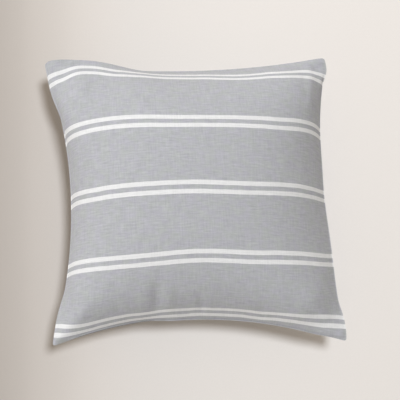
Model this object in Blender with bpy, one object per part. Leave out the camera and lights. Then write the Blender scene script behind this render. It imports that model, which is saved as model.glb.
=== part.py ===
"""Throw pillow: a square striped cover with a lapped zip, around a filled insert.

The pillow lies flat on its back panel. +Z is up, the striped front panel
faces up, and the zip is in the -Y edge. The origin is on the floor, below
the centre of the pillow's box. All sizes are in metres.

The cover and the insert are nested shells. Every shell is laid out on the
same grid of stations (u, v), each from -1 to 1 across the pillow, so the
facets of neighbouring layers run parallel and never cross.
"""
import math

import bmesh
import bpy
from mathutils import Matrix, Vector

# The cover as it lies: its four seam corners and its four hollow edges
HALF_SIDE = 0.2525          # centre to each edge's chord
SKEW = 0.0045               # how far the weave has sheared, towards the -X +Y corner
DIP_LEFT = 0.040            # how far the middle of each edge is drawn in
DIP_RIGHT = 0.020
DIP_TOP = 0.020
DIP_BOTTOM = 0.046
SEAM_HEIGHT = 0.085         # floor to the seam
FRONT_RISE = 0.103          # seam to the top of the front panel
BACK_DROP = 0.112           # how deep the back would hang if no floor held it up
BULGE_POWER = 0.5           # 0.5 is a round edge, 1 a sharp one
FLOOR_BEND = 0.008          # half the height over which the back bends up off the floor

# Cloth and seams
COVER_CLOTH = 0.0010
CASING_CLOTH = 0.0005
CLEARANCE = 0.0003          # between pieces that touch
MARGIN = 0.0001             # added to a clearance beside a moving or a curved piece
LAYER_SLACK = 0.0006        # between the cover and the insert
THREAD = 0.0004
SEAM_LIP = 0.0012           # rolled seam that stands out past the stitches
COVER_ALLOWANCE = 0.012     # seam allowance, folded inward
CASING_ALLOWANCE = 0.008
STITCH_INSET = 0.0020       # from the seam's fold to its line of stitches
WALL_INSET = 0.0015         # how much narrower a panel's inner face is than its outer one
INSERT_INSET = 0.0155       # how much narrower the insert is than the cover, at its seam
FILL_ROOM = 0.0010          # between the casing's allowance and the fill's rim
FILL_RIM = 0.0030           # half the height of the fill's blunt rim
FOLLOW_POWER = 4            # an inset fades out towards the middle of the pillow

# Zip, sewn into the bottom edge
ZIP_OPENING = 0.436         # length of the opening along the edge
ZIP_TAPER = 0.020           # over which the opening closes to a plain seam
LAP = 0.0065                # flap of the front panel that covers the zip
LAP_START = -0.10           # where the lap begins to stand out, along the edge
LAP_GROW = 0.060            # over which it reaches its full width
ZIP_END_ROOM = 0.004        # tape's end to the end of the opening
TAPE_CLOTH = 0.0005
TAPE_DEPTH = 0.0090         # tape behind the panel's edge
COIL_WIDTH = 0.0023
COIL_THICK = 0.0015
COIL_PART = 0.0006          # half the slit between the two coils
STOP_LENGTH = 0.0022
SLIDER_LENGTH = 0.0105
SLIDER_PLATE = 0.0010
SLIDER_WALL = 0.0008
BAIL_THICK = 0.0008
BAIL_HALF = 0.0006          # half the bail's width across the chain
BAIL_SPAN = 0.0060
PULL_THICK = 0.0009
PULL_WIDTH = 0.0070
PULL_LENGTH = 0.0230
PULL_WINDOW = 0.0050        # slot at the tab's root, which straddles the bail
PULL_CORNER = 0.0021        # bevel on the corners of the tab's tip
TACK_LENGTH = 0.0015
TACK_WIDTH = 0.0008

# Blank labels, one station wide
LABEL_CLOTH = 0.0005
LABEL_OFF = 0.0005          # off the cloth that it lies against

INNER_CELLS = 12            # grid cells across the zip opening
ZIP_SEGMENTS = 24

# Half the height of the zip, from its middle line to the panel's fold
SLIDER_HALF = COIL_PART + COIL_WIDTH + CLEARANCE + SLIDER_WALL
TAPE_FLANGE = SLIDER_HALF + CLEARANCE + MARGIN
ZIP_HALF = TAPE_FLANGE + TAPE_CLOTH + CLEARANCE
SEAM_HALF_GAP = THREAD / 2 + CLEARANCE

# Depth of each surface below the outermost one, at the middle of the pillow
CASING_DEPTH = COVER_CLOTH + LAYER_SLACK
CASING_INSIDE = CASING_DEPTH + CASING_CLOTH
FILL_DEPTH = CASING_INSIDE + CLEARANCE + MARGIN
FILL_INSET = INSERT_INSET + CASING_ALLOWANCE + FILL_ROOM


class Edge:
    """A hollow edge of the outline: a circular arc from start to end, centred outside it."""

    def __init__(self, start, end, dip):
        chord = end - start
        half = chord.length / 2
        self.along = chord.normalized()
        self.inward = Vector((-self.along.y, self.along.x))
        self.radius = (half ** 2 + dip ** 2) / (2 * dip)
        self.centre = (start + end) / 2 - self.inward * (self.radius - dip)
        self.half_angle = math.asin(half / self.radius)

    def direction(self, angle):
        return self.inward * math.cos(angle) + self.along * math.sin(angle)

    def point(self, t, out=0.0):
        """The point at t from -1 to 1, moved outward by out."""
        return self.centre + self.direction(t * self.half_angle) * (self.radius - out)


FAR = HALF_SIDE + SKEW
NEAR = HALF_SIDE - SKEW
BOTTOM_LEFT = Vector((-NEAR, -NEAR))
BOTTOM_RIGHT = Vector((FAR, -FAR))
TOP_RIGHT = Vector((NEAR, NEAR))
TOP_LEFT = Vector((-FAR, FAR))
BOTTOM = Edge(BOTTOM_LEFT, BOTTOM_RIGHT, DIP_BOTTOM)
RIGHT = Edge(BOTTOM_RIGHT, TOP_RIGHT, DIP_RIGHT)
TOP = Edge(TOP_RIGHT, TOP_LEFT, DIP_TOP)
LEFT = Edge(TOP_LEFT, BOTTOM_LEFT, DIP_LEFT)

ZIP_EDGE_LENGTH = 2 * BOTTOM.half_angle * BOTTOM.radius
ZIP_STATION = ZIP_OPENING / ZIP_EDGE_LENGTH
PLAIN_STATION = (ZIP_OPENING + 2 * ZIP_TAPER) / ZIP_EDGE_LENGTH
INNER = [ZIP_STATION * (2 * k / INNER_CELLS - 1) for k in range(INNER_CELLS + 1)]
STATIONS = [-1, -PLAIN_STATION] + INNER + [PLAIN_STATION, 1]
CELLS = len(STATIONS) - 1


# ---- the pillow's surfaces ----

def plan(u, v):
    """Where the station (u, v) lies, seen from above."""
    across = BOTTOM.point(u) * (1 - v) / 2 + TOP.point(-u) * (1 + v) / 2
    upright = LEFT.point(-v) * (1 - u) / 2 + RIGHT.point(v) * (1 + u) / 2
    lower = BOTTOM_LEFT * (1 - u) / 2 + BOTTOM_RIGHT * (1 + u) / 2
    upper = TOP_LEFT * (1 - u) / 2 + TOP_RIGHT * (1 + u) / 2
    return across + upright - lower * (1 - v) / 2 - upper * (1 + v) / 2


def inset_plan(u, v, inset):
    """The same station on a layer that is narrower by inset at its rim."""
    nearness = max(abs(u), abs(v)) ** FOLLOW_POWER
    return plan(u, v) * (1 - nearness * inset / HALF_SIDE)


def bulge(u, v):
    """0 along the seam and 1 at the middle."""
    return ((1 - u * u) * (1 - v * v)) ** BULGE_POWER


def height(full, depth, rim, u, v):
    """How far a layer stands off the seam's middle plane: rim at its edge, full less depth inside."""
    share = bulge(u, v)
    near_rim = (1 - share) ** FOLLOW_POWER
    return full * share - depth * (1 - near_rim) + rim * near_rim


def zip_share(u):
    """1 along the zip's opening, falling to 0 where the seam is plain."""
    return min(1, max(0, (PLAIN_STATION - abs(u)) / (PLAIN_STATION - ZIP_STATION)))


def rim_height(u, v, opens):
    """How far a panel's seam fold lies from the middle of the seam."""
    if not opens:
        return SEAM_HALF_GAP
    near_zip = zip_share(u) * max(0, -v) ** (2 * FOLLOW_POWER)
    return SEAM_HALF_GAP + (ZIP_HALF - SEAM_HALF_GAP) * near_zip


def on_floor(z, floor):
    """z, bent smoothly onto a floor, which it reaches FLOOR_BEND above the plain crossing."""
    above = z - floor
    if above <= -FLOOR_BEND:
        return floor
    if above >= FLOOR_BEND:
        return z
    return floor + (above + FLOOR_BEND) ** 2 / (4 * FLOOR_BEND)


def front_point(u, v, inset, depth, rim):
    z = SEAM_HEIGHT + height(FRONT_RISE, depth, rim, u, v)
    return inset_plan(u, v, inset).to_3d() + Vector((0, 0, z))


def back_point(u, v, inset, depth, rim):
    z = SEAM_HEIGHT - height(BACK_DROP, depth, rim, u, v)
    return inset_plan(u, v, inset).to_3d() + Vector((0, 0, on_floor(z, depth)))


def surface_point(side, u, v, inset, depth, rim):
    if side > 0:
        return front_point(u, v, inset, depth, rim)
    return back_point(u, v, inset, depth, rim)


# ---- mesh helpers ----

def rim_stations():
    """The grid's outer stations in order, counter-clockwise from the -X -Y corner."""
    last = CELLS
    order = [(i, 0) for i in range(last)]
    order += [(last, j) for j in range(last)]
    order += [(last - i, last) for i in range(last)]
    order += [(0, last - j) for j in range(last)]
    return order


def edge_and_t(i, j):
    """The outline's edge that the rim station (i, j) lies on, and its place along it."""
    if j == 0:
        return BOTTOM, STATIONS[i]
    if i == CELLS:
        return RIGHT, STATIONS[j]
    if j == CELLS:
        return TOP, -STATIONS[i]
    return LEFT, -STATIONS[j]


def is_corner(i, j):
    return i in (0, CELLS) and j in (0, CELLS)


def outer_point(i, j, out):
    """A point outside the outline by out, beside the rim station (i, j)."""
    edge, t = edge_and_t(i, j)
    if is_corner(i, j):
        return edge.point(t) + Vector((STATIONS[i], STATIONS[j])) * out
    return edge.point(t, out)


def lap_width(i, j, laps):
    """How far a panel stands out past its seam fold: the lap over the zip, or the plain lip."""
    if j != 0 or not laps:
        return SEAM_LIP
    u = STATIONS[i]
    x = u * ZIP_EDGE_LENGTH / 2
    grown = min(1, max(0, (x - LAP_START) / LAP_GROW))
    return SEAM_LIP + (LAP - SEAM_LIP) * grown * zip_share(u)


def new_sheet(bm, columns, rows, place):
    """A grid of triangles over the given station indices, its diagonals pointing at the middle."""
    verts = {}
    for i in columns:
        for j in rows:
            verts[i, j] = bm.verts.new(place(STATIONS[i], STATIONS[j]))
    for i in columns[:-1]:
        for j in rows[:-1]:
            a, b = verts[i, j], verts[i + 1, j]
            c, d = verts[i + 1, j + 1], verts[i, j + 1]
            if (2 * i + 1 - CELLS) * (2 * j + 1 - CELLS) > 0:
                bm.faces.new((a, b, c))
                bm.faces.new((a, c, d))
            else:
                bm.faces.new((a, b, d))
                bm.faces.new((b, c, d))
    return verts


def join_rings(bm, first, second, closed=True):
    """A band of triangles between two rings of as many vertices."""
    count = len(first)
    for k in range(count if closed else count - 1):
        a, b = first[k], first[(k + 1) % count]
        c, d = second[(k + 1) % count], second[k]
        bm.faces.new((a, b, c))
        bm.faces.new((a, c, d))


def new_object(name, bm, look, smooth=False):
    """Close the mesh, face it outward and give it its material."""
    bmesh.ops.recalc_face_normals(bm, faces=bm.faces)
    mesh = bpy.data.meshes.new(name)
    bm.to_mesh(mesh)
    bm.free()
    mesh.materials.append(look)
    if smooth:
        mesh.shade_smooth()
        mesh.set_sharp_from_angle(angle=math.radians(40))
    item = bpy.data.objects.new(name, mesh)
    bpy.context.scene.collection.objects.link(item)
    return item


def new_look(name, colour, roughness, metallic=0.0):
    look = bpy.data.materials.new(name)
    look.use_nodes = True
    shader = look.node_tree.nodes["Principled BSDF"]
    shader.inputs["Base Color"].default_value = (*colour, 1)
    shader.inputs["Roughness"].default_value = roughness
    shader.inputs["Metallic"].default_value = metallic
    return look


# ---- soft pieces ----

def shell_panel(name, side, look, cloth, inset, depth, allowance, opens=False, laps=False):
    """One panel of the cover or the insert: a domed shell with its seam allowance turned in."""
    bm = bmesh.new()
    wall = cloth if side > 0 else -cloth
    indices = list(range(CELLS + 1))

    def fold(u, v):
        return SEAM_HEIGHT + (1 if side > 0 else -1) * rim_height(u, v, opens)

    def outside(u, v):
        return surface_point(side, u, v, inset, depth, rim_height(u, v, opens) + cloth)

    def inside(u, v):
        rim = rim_height(u, v, opens) + cloth
        return surface_point(side, u, v, inset + WALL_INSET, depth + cloth, rim)

    def ring(place):
        return [bm.verts.new(place(i, j)) for i, j in rim_stations()]

    def lip(i, j, level):
        u, v = STATIONS[i], STATIONS[j]
        if inset > 0:
            flat = plan(u, v) * (1 - (inset - SEAM_LIP) / HALF_SIDE)
        else:
            flat = outer_point(i, j, lap_width(i, j, laps))
        return (flat.x, flat.y, fold(u, v) + level)

    def turned_in(i, j, level):
        u, v = STATIONS[i], STATIONS[j]
        if opens and j == 0 and zip_share(u) == 1:
            flat = BOTTOM.point(u, -allowance)
        else:
            flat = plan(u, v) * (1 - (inset + allowance) / HALF_SIDE)
        return (flat.x, flat.y, fold(u, v) + level)

    outer = new_sheet(bm, indices, indices, outside)
    inner = new_sheet(bm, indices, indices, inside)
    rings = [
        [outer[k] for k in rim_stations()],
        ring(lambda i, j: lip(i, j, wall)),
        ring(lambda i, j: lip(i, j, 0)),
        ring(lambda i, j: turned_in(i, j, 0)),
        ring(lambda i, j: turned_in(i, j, wall)),
        [inner[k] for k in rim_stations()],
    ]
    for first, second in zip(rings, rings[1:]):
        join_rings(bm, first, second)
    return new_object(name, bm, look, smooth=True)


def fill(name, look):
    """The fibre fill: one solid dome each way, meeting at a blunt rim."""
    bm = bmesh.new()
    indices = list(range(CELLS + 1))
    front = new_sheet(bm, indices, indices,
                      lambda u, v: front_point(u, v, FILL_INSET, FILL_DEPTH, FILL_RIM))
    back = new_sheet(bm, indices, indices,
                     lambda u, v: back_point(u, v, FILL_INSET, FILL_DEPTH, FILL_RIM))
    order = rim_stations()
    join_rings(bm, [front[k] for k in order], [back[k] for k in order])
    return new_object(name, bm, look, smooth=True)


def seam_thread(name, look, inset, opens):
    """A line of stitches in the middle of a seam, left out along the zip."""
    bm = bmesh.new()
    order = rim_stations()
    if opens:
        start = order.index((CELLS - 1, 0))
        order = order[start:] + order[:start]
        order = [k for k in order if k[1] > 0 or zip_share(STATIONS[k[0]]) == 0]
    rings = []
    for offset, level in ((-1, -1), (1, -1), (1, 1), (-1, 1)):
        ring = []
        for i, j in order:
            share = (inset + STITCH_INSET + offset * THREAD) / HALF_SIDE
            flat = plan(STATIONS[i], STATIONS[j]) * (1 - share)
            ring.append(bm.verts.new((flat.x, flat.y, SEAM_HEIGHT + level * THREAD / 2)))
        rings.append(ring)
    for first, second in zip(rings, rings[1:] + rings[:1]):
        join_rings(bm, first, second, closed=not opens)
    if opens:
        bm.faces.new([ring[0] for ring in rings])
        bm.faces.new([ring[-1] for ring in reversed(rings)])
    return new_object(name, bm, look)


def label(name, look, column, row, inset, depth, rim):
    """A blank label that lies against the inner or outer face of a front panel."""
    bm = bmesh.new()
    columns = [column, column + 1]
    rows = [row, row + 1]

    def face(more):
        return new_sheet(bm, columns, rows, lambda u, v: front_point(
            u, v, inset + more, depth + more / 2, rim))

    upper = face(0)
    lower = face(LABEL_CLOTH)
    order = [(column, row), (column + 1, row), (column + 1, row + 1), (column, row + 1)]
    join_rings(bm, [upper[k] for k in order], [lower[k] for k in order])
    return new_object(name, bm, look)


# ---- zip ----

def zip_angle(x):
    """The angle on the bottom edge's circle of the place x along that edge."""
    return x / BOTTOM.radius


def zip_point(x, out, z):
    """A point x along the bottom edge, out past it and z above the zip's middle line."""
    flat = BOTTOM.centre + BOTTOM.direction(zip_angle(x)) * (BOTTOM.radius - out)
    return Vector((flat.x, flat.y, SEAM_HEIGHT + z))


def zip_strip(name, look, profile, start, end, segments=ZIP_SEGMENTS):
    """A profile of (out, z) points swept along the bottom edge from start to end."""
    bm = bmesh.new()
    rings = []
    for k in range(segments + 1):
        x = start + (end - start) * k / segments
        rings.append([bm.verts.new(zip_point(x, out, z)) for out, z in profile])
    for first, second in zip(rings, rings[1:]):
        join_rings(bm, first, second)
    bm.faces.new(rings[0])
    bm.faces.new(list(reversed(rings[-1])))
    bmesh.ops.triangulate(bm, faces=[f for f in bm.faces if len(f.verts) > 4])
    return new_object(name, bm, look)


def box_profile(out_low, out_high, z_low, z_high):
    return [(out_low, z_low), (out_high, z_low), (out_high, z_high), (out_low, z_high)]


def mirrored(profile):
    return [(out, -z) for out, z in profile]


TAPE_FACE = 0.0002          # the tape's outer face, past the panel's fold
COIL_FACE = TAPE_FACE + CLEARANCE
COIL_TOP = COIL_FACE + COIL_THICK
PLATE_FACE = COIL_TOP + CLEARANCE
BAIL_ROOM = PULL_THICK + 2 * CLEARANCE + MARGIN
PIVOT_OUT = PLATE_FACE + SLIDER_PLATE + BAIL_ROOM / 2

TAPE_HALF_LENGTH = ZIP_OPENING / 2 - ZIP_END_ROOM
COIL_HALF_LENGTH = TAPE_HALF_LENGTH - STOP_LENGTH - CLEARANCE
SLIDER_CLOSED = COIL_HALF_LENGTH - SLIDER_LENGTH / 2 - CLEARANCE
SLIDER_OPEN = -SLIDER_CLOSED


def tape_profile():
    back = TAPE_FACE - TAPE_CLOTH
    return [
        (TAPE_FACE, COIL_PART),
        (TAPE_FACE, TAPE_FLANGE + TAPE_CLOTH),
        (-TAPE_DEPTH, TAPE_FLANGE + TAPE_CLOTH),
        (-TAPE_DEPTH, TAPE_FLANGE),
        (back, TAPE_FLANGE),
        (back, COIL_PART),
    ]


def zip_pieces(looks):
    tape_ends = (-TAPE_HALF_LENGTH, TAPE_HALF_LENGTH)
    coil_ends = (-COIL_HALF_LENGTH, COIL_HALF_LENGTH)
    zip_strip("zip_front_tape", looks["tape"], tape_profile(), *tape_ends)
    zip_strip("zip_back_tape", looks["tape"], mirrored(tape_profile()), *tape_ends)
    coil = box_profile(COIL_FACE, COIL_TOP, COIL_PART, COIL_PART + COIL_WIDTH)
    zip_strip("zip_front_coil", looks["coil"], coil, *coil_ends)
    zip_strip("zip_back_coil", looks["coil"], mirrored(coil), *coil_ends)
    stop = box_profile(COIL_FACE, COIL_TOP, -COIL_PART - COIL_WIDTH, COIL_PART + COIL_WIDTH)
    inner_end = COIL_HALF_LENGTH + CLEARANCE
    zip_strip("zip_top_stop", looks["metal"], stop, inner_end, inner_end + STOP_LENGTH, 1)
    zip_strip("zip_bottom_stop", looks["metal"], stop, -inner_end - STOP_LENGTH, -inner_end, 1)
    level = ZIP_HALF + COVER_CLOTH + CLEARANCE
    line = box_profile(2 * THREAD, 4 * THREAD, level, level + THREAD)
    zip_strip("zip_front_stitching", looks["thread"], line, *tape_ends)
    short = box_profile(THREAD, 2.5 * THREAD, level, level + THREAD)
    zip_strip("zip_back_stitching", looks["thread"], mirrored(short), *tape_ends)


def zip_tacks(looks):
    """A bar of thread across the opening at each end of the zip."""
    reach = ZIP_HALF - CLEARANCE
    profile = box_profile(CLEARANCE, CLEARANCE + TACK_WIDTH, -reach, reach)
    start = TAPE_HALF_LENGTH + CLEARANCE
    ends = (("right", start, start + TACK_LENGTH), ("left", -start - TACK_LENGTH, -start))
    for side, low, high in ends:
        zip_strip(f"zip_{side}_tack", looks["thread"], profile, low, high, 1)


def box(bm, low, high):
    """A box between two corners."""
    size = [b - a for a, b in zip(low, high)]
    middle = [(a + b) / 2 for a, b in zip(low, high)]
    place = Matrix.Translation(middle) @ Matrix.Diagonal((*size, 1))
    bmesh.ops.create_cube(bm, size=1, matrix=place)


def hidden_box(name, look, low, high):
    """A box for use by a Boolean."""
    bm = bmesh.new()
    box(bm, low, high)
    item = new_object(name, bm, look)
    item.hide_render = True
    item.display_type = "WIRE"
    return item


def add_boolean(item, other, operation):
    step = item.modifiers.new(other.name, "BOOLEAN")
    step.object = other
    step.operation = operation


def slider_frame():
    """An empty on the zip where the slider stands when the zip is closed.

    Its X runs along the zip, its -Y points out of the pillow and its Z up.
    """
    frame = bpy.data.objects.new("slider_frame", None)
    bpy.context.scene.collection.objects.link(frame)
    angle = zip_angle(SLIDER_CLOSED)
    along = BOTTOM.along * math.cos(angle) - BOTTOM.inward * math.sin(angle)
    frame.location = zip_point(SLIDER_CLOSED, 0, 0)
    frame.rotation_euler.z = math.atan2(along.y, along.x)
    return frame


def slider(looks, frame):
    """Two plates joined by a thin post, side walls around the coils, and the bail on top."""
    half = SLIDER_LENGTH / 2
    post = COIL_PART - CLEARANCE
    top = PLATE_FACE + SLIDER_PLATE
    under = TAPE_FACE - TAPE_CLOTH - CLEARANCE
    bail_base = top + BAIL_ROOM
    overlap = SLIDER_PLATE / 4

    def part(x0, x1, out0, out1, z0, z1):
        return ((x0, -out1, z0), (x1, -out0, z1))

    plate = part(-half, half, PLATE_FACE, top, -SLIDER_HALF, SLIDER_HALF)
    bm = bmesh.new()
    box(bm, *plate)
    item = new_object("zip_slider", bm, looks["metal"])
    inner = part(-half, half, under - SLIDER_PLATE, under, -SLIDER_HALF, SLIDER_HALF)
    middle = part(half - SLIDER_LENGTH / 3, half, under - overlap, PLATE_FACE + overlap, -post, post)
    walls = [part(-half, half, COIL_FACE, PLATE_FACE + overlap, low, low + SLIDER_WALL)
             for low in (-SLIDER_HALF, SLIDER_HALF - SLIDER_WALL)]
    span = BAIL_SPAN / 2
    bridge = part(-span, span, bail_base, bail_base + BAIL_THICK, -BAIL_HALF, BAIL_HALF)
    legs = [part(x, x + BAIL_THICK, top - overlap, bail_base + overlap, -BAIL_HALF, BAIL_HALF)
            for x in (-span, span - BAIL_THICK)]
    for k, piece in enumerate([middle, inner, walls[0], walls[1], legs[0], legs[1], bridge]):
        helper = hidden_box(f"slider_piece_{k}", looks["metal"], *piece)
        helper.parent = frame
        add_boolean(item, helper, "UNION")
    item.parent = frame
    return item


def pull(looks, frame):
    """A flat tab with a slot at its root: the bar beyond the slot turns under the bail."""
    thick = PULL_THICK / 2
    wide = PULL_WIDTH / 2
    bm = bmesh.new()
    box(bm, (-PULL_LENGTH, -thick, -wide), (thick, thick, wide))
    tips = [e for e in bm.edges
            if all(v.co.x < -PULL_LENGTH / 2 for v in e.verts) and e.verts[0].co.z == e.verts[1].co.z]
    bmesh.ops.bevel(bm, geom=tips, offset=PULL_CORNER, segments=3, affect="EDGES", profile=0.5)
    item = new_object("zip_pull", bm, looks["metal"])
    slot = BAIL_HALF + CLEARANCE + MARGIN
    window = hidden_box("pull_window", looks["metal"],
                        (-PULL_WINDOW, -2 * thick, -slot), (-thick, 2 * thick, slot))
    add_boolean(item, window, "DIFFERENCE")
    for piece in (window, item):
        piece.parent = frame
        piece.location.y = -PIVOT_OUT
    return item


# ---- the whole pillow ----

def main():
    for item in list(bpy.data.objects):
        bpy.data.objects.remove(item)
    looks = {
        "cloth": new_look("cover_cloth", (0.49, 0.485, 0.50), 0.9),
        "thread": new_look("sewing_thread", (0.42, 0.42, 0.43), 0.8),
        "tape": new_look("zip_tape", (0.40, 0.40, 0.41), 0.85),
        "coil": new_look("zip_coil", (0.36, 0.36, 0.37), 0.45),
        "metal": new_look("zip_metal", (0.55, 0.55, 0.56), 0.35, metallic=1.0),
        "casing": new_look("insert_casing", (0.85, 0.84, 0.82), 0.9),
        "fibre": new_look("fibre_fill", (0.92, 0.92, 0.90), 1.0),
        "label": new_look("blank_label", (0.90, 0.90, 0.88), 0.6),
    }
    shell_panel("cover_front_panel", 1, looks["cloth"], COVER_CLOTH, 0, 0,
                COVER_ALLOWANCE, opens=True, laps=True)
    shell_panel("cover_back_panel", -1, looks["cloth"], COVER_CLOTH, 0, 0,
                COVER_ALLOWANCE, opens=True)
    seam_thread("cover_seam_thread", looks["thread"], 0, opens=True)
    shell_panel("insert_front_casing", 1, looks["casing"], CASING_CLOTH, INSERT_INSET,
                CASING_DEPTH, CASING_ALLOWANCE)
    shell_panel("insert_back_casing", -1, looks["casing"], CASING_CLOTH, INSERT_INSET,
                CASING_DEPTH, CASING_ALLOWANCE)
    seam_thread("insert_seam_thread", looks["thread"], INSERT_INSET, opens=False)
    fill("insert_fill", looks["fibre"])

    middle_row = CELLS // 2
    rim = SEAM_HALF_GAP + COVER_CLOTH
    label("cover_care_label", looks["label"], 1, middle_row,
          WALL_INSET + LABEL_OFF, COVER_CLOTH + LABEL_OFF / 2, rim)
    insert_rim = SEAM_HALF_GAP + CASING_CLOTH
    label("insert_label", looks["label"], CELLS - 2, middle_row,
          INSERT_INSET - LABEL_OFF - LABEL_CLOTH,
          CASING_DEPTH - LABEL_OFF / 2 - LABEL_CLOTH / 2, insert_rim)

    zip_pieces(looks)
    zip_tacks(looks)
    frame = slider_frame()
    slider(looks, frame)
    pull(looks, frame)


main()
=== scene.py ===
"""The striped throw pillow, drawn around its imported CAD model.

The cover is blown up by a cloth simulation from two flat squares sewn together
at their edges, which gives its dome, its drawn-in sides and the run of its
stripes. Its thin corners, soft folds and small drags of the weave are added in
code, and every layer under it is worked out from the same skin.

Sizes are in metres, in the CAD's frame: +Z is up and the zip is in the -Y edge.
Stations (u, v) run from -1 at the -X and -Y edges to 1 at the others.
"""
import math

import bmesh
import bpy
import numpy as np
from mathutils import Matrix, Vector


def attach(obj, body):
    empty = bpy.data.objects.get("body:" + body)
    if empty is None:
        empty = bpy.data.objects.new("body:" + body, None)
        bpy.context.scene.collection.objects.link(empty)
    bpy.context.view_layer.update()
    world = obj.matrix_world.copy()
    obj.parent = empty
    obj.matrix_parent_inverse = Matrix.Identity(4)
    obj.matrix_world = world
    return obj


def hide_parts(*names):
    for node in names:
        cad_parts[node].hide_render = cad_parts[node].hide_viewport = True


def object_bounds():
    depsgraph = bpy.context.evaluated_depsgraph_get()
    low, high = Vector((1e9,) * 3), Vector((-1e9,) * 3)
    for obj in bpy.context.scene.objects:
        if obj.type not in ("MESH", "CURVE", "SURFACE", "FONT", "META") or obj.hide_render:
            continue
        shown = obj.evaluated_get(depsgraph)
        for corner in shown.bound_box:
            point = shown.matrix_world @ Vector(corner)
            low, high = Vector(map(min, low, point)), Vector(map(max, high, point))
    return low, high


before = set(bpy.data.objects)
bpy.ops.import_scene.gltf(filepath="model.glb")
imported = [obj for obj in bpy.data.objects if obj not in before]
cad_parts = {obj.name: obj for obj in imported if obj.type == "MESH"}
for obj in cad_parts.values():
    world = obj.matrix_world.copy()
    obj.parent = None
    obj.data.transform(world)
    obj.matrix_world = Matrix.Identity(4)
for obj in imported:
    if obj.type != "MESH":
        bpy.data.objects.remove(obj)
cad_low, cad_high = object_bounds()

# ---- sizes that repeat the CAD model's ----

HALF_SIDE = 0.2525
SKEW = 0.0045
DIP_LEFT = 0.040
DIP_RIGHT = 0.020
DIP_TOP = 0.020
DIP_BOTTOM = 0.046
SEAM_HEIGHT = 0.085
FLOOR_BEND = 0.008
COVER_CLOTH = 0.0010
CASING_CLOTH = 0.0005
CLEARANCE = 0.0003
MARGIN = 0.0001
LAYER_SLACK = 0.0006
THREAD = 0.0004
SEAM_LIP = 0.0012
COVER_ALLOWANCE = 0.012
CASING_ALLOWANCE = 0.008
STITCH_INSET = 0.0020
WALL_INSET = 0.0015
INSERT_INSET = 0.0155
FILL_ROOM = 0.0010
FILL_RIM = 0.0030
FOLLOW_POWER = 4
ZIP_OPENING = 0.436
ZIP_TAPER = 0.020
LAP = 0.0065
LAP_START = -0.10
LAP_GROW = 0.060
ZIP_END_ROOM = 0.004
TAPE_CLOTH = 0.0005
TAPE_DEPTH = 0.0090
COIL_WIDTH = 0.0023
COIL_THICK = 0.0015
COIL_PART = 0.0006
STOP_LENGTH = 0.0022
SLIDER_LENGTH = 0.0105
SLIDER_PLATE = 0.0010
SLIDER_WALL = 0.0008
BAIL_THICK = 0.0008
BAIL_HALF = 0.0006
BAIL_SPAN = 0.0060
PULL_THICK = 0.0009
PULL_WIDTH = 0.0070
PULL_LENGTH = 0.0230
PULL_WINDOW = 0.0050
TACK_LENGTH = 0.0015
TACK_WIDTH = 0.0008
LABEL_CLOTH = 0.0005
LABEL_OFF = 0.0005

SLIDER_HALF = COIL_PART + COIL_WIDTH + CLEARANCE + SLIDER_WALL
TAPE_FLANGE = SLIDER_HALF + CLEARANCE + MARGIN
ZIP_HALF = TAPE_FLANGE + TAPE_CLOTH + CLEARANCE
SEAM_HALF_GAP = THREAD / 2 + CLEARANCE
CASING_DEPTH = COVER_CLOTH + LAYER_SLACK
CASING_INSIDE = CASING_DEPTH + CASING_CLOTH
FILL_DEPTH = CASING_INSIDE + CLEARANCE + MARGIN
FILL_INSET = INSERT_INSET + CASING_ALLOWANCE + FILL_ROOM
TAPE_FACE = 0.0002
COIL_FACE = TAPE_FACE + CLEARANCE
COIL_TOP = COIL_FACE + COIL_THICK
PLATE_FACE = COIL_TOP + CLEARANCE
BAIL_ROOM = PULL_THICK + 2 * CLEARANCE + MARGIN
PIVOT_OUT = PLATE_FACE + SLIDER_PLATE + BAIL_ROOM / 2
TAPE_HALF_LENGTH = ZIP_OPENING / 2 - ZIP_END_ROOM
COIL_HALF_LENGTH = TAPE_HALF_LENGTH - STOP_LENGTH - CLEARANCE
SLIDER_CLOSED = COIL_HALF_LENGTH - SLIDER_LENGTH / 2 - CLEARANCE

# ---- the cloth ----

CUT = 0.520  # side of each square cover panel, seam to seam, before it was filled
SIM_CELLS = 48
DRAW_FRAMES = 12  # over which the seam is drawn in to its outline
SIM_FRAMES = 24
SIM_SETTINGS = {  # Blender's Cloth: light, hard to stretch and easy to crease
    "quality": 6,
    "mass": 0.002,
    "tension_stiffness": 300,
    "compression_stiffness": 4,
    "shear_stiffness": 4,
    "bending_stiffness": 0.01,
    "tension_damping": 5,
    "compression_damping": 5,
    "shear_damping": 5,
    "bending_damping": 0.5,
    "air_damping": 2,
    "vertex_group_mass": "seam",
    "pin_stiffness": 1,
    "use_pressure": True,
    "uniform_pressure_force": 300,
}
START_RISE = 0.006  # dome that the simulation starts from
FRONT_TOP = cad_high.z - SEAM_HEIGHT
BACK_DROP = 0.098  # how far the back panel hangs below the seam before it meets the floor
BOXINESS = 1.12  # 1 is the shape of the simulation, more is flatter on top
EARS = {(-1, 1): 0.55, (1, 1): 0.50, (-1, -1): 0.30, (1, -1): 0.45}  # how slack each corner is
EAR_START = 1.45  # where a corner starts to thin out, as |u| + |v|
EAR_END = 1.85
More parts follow.
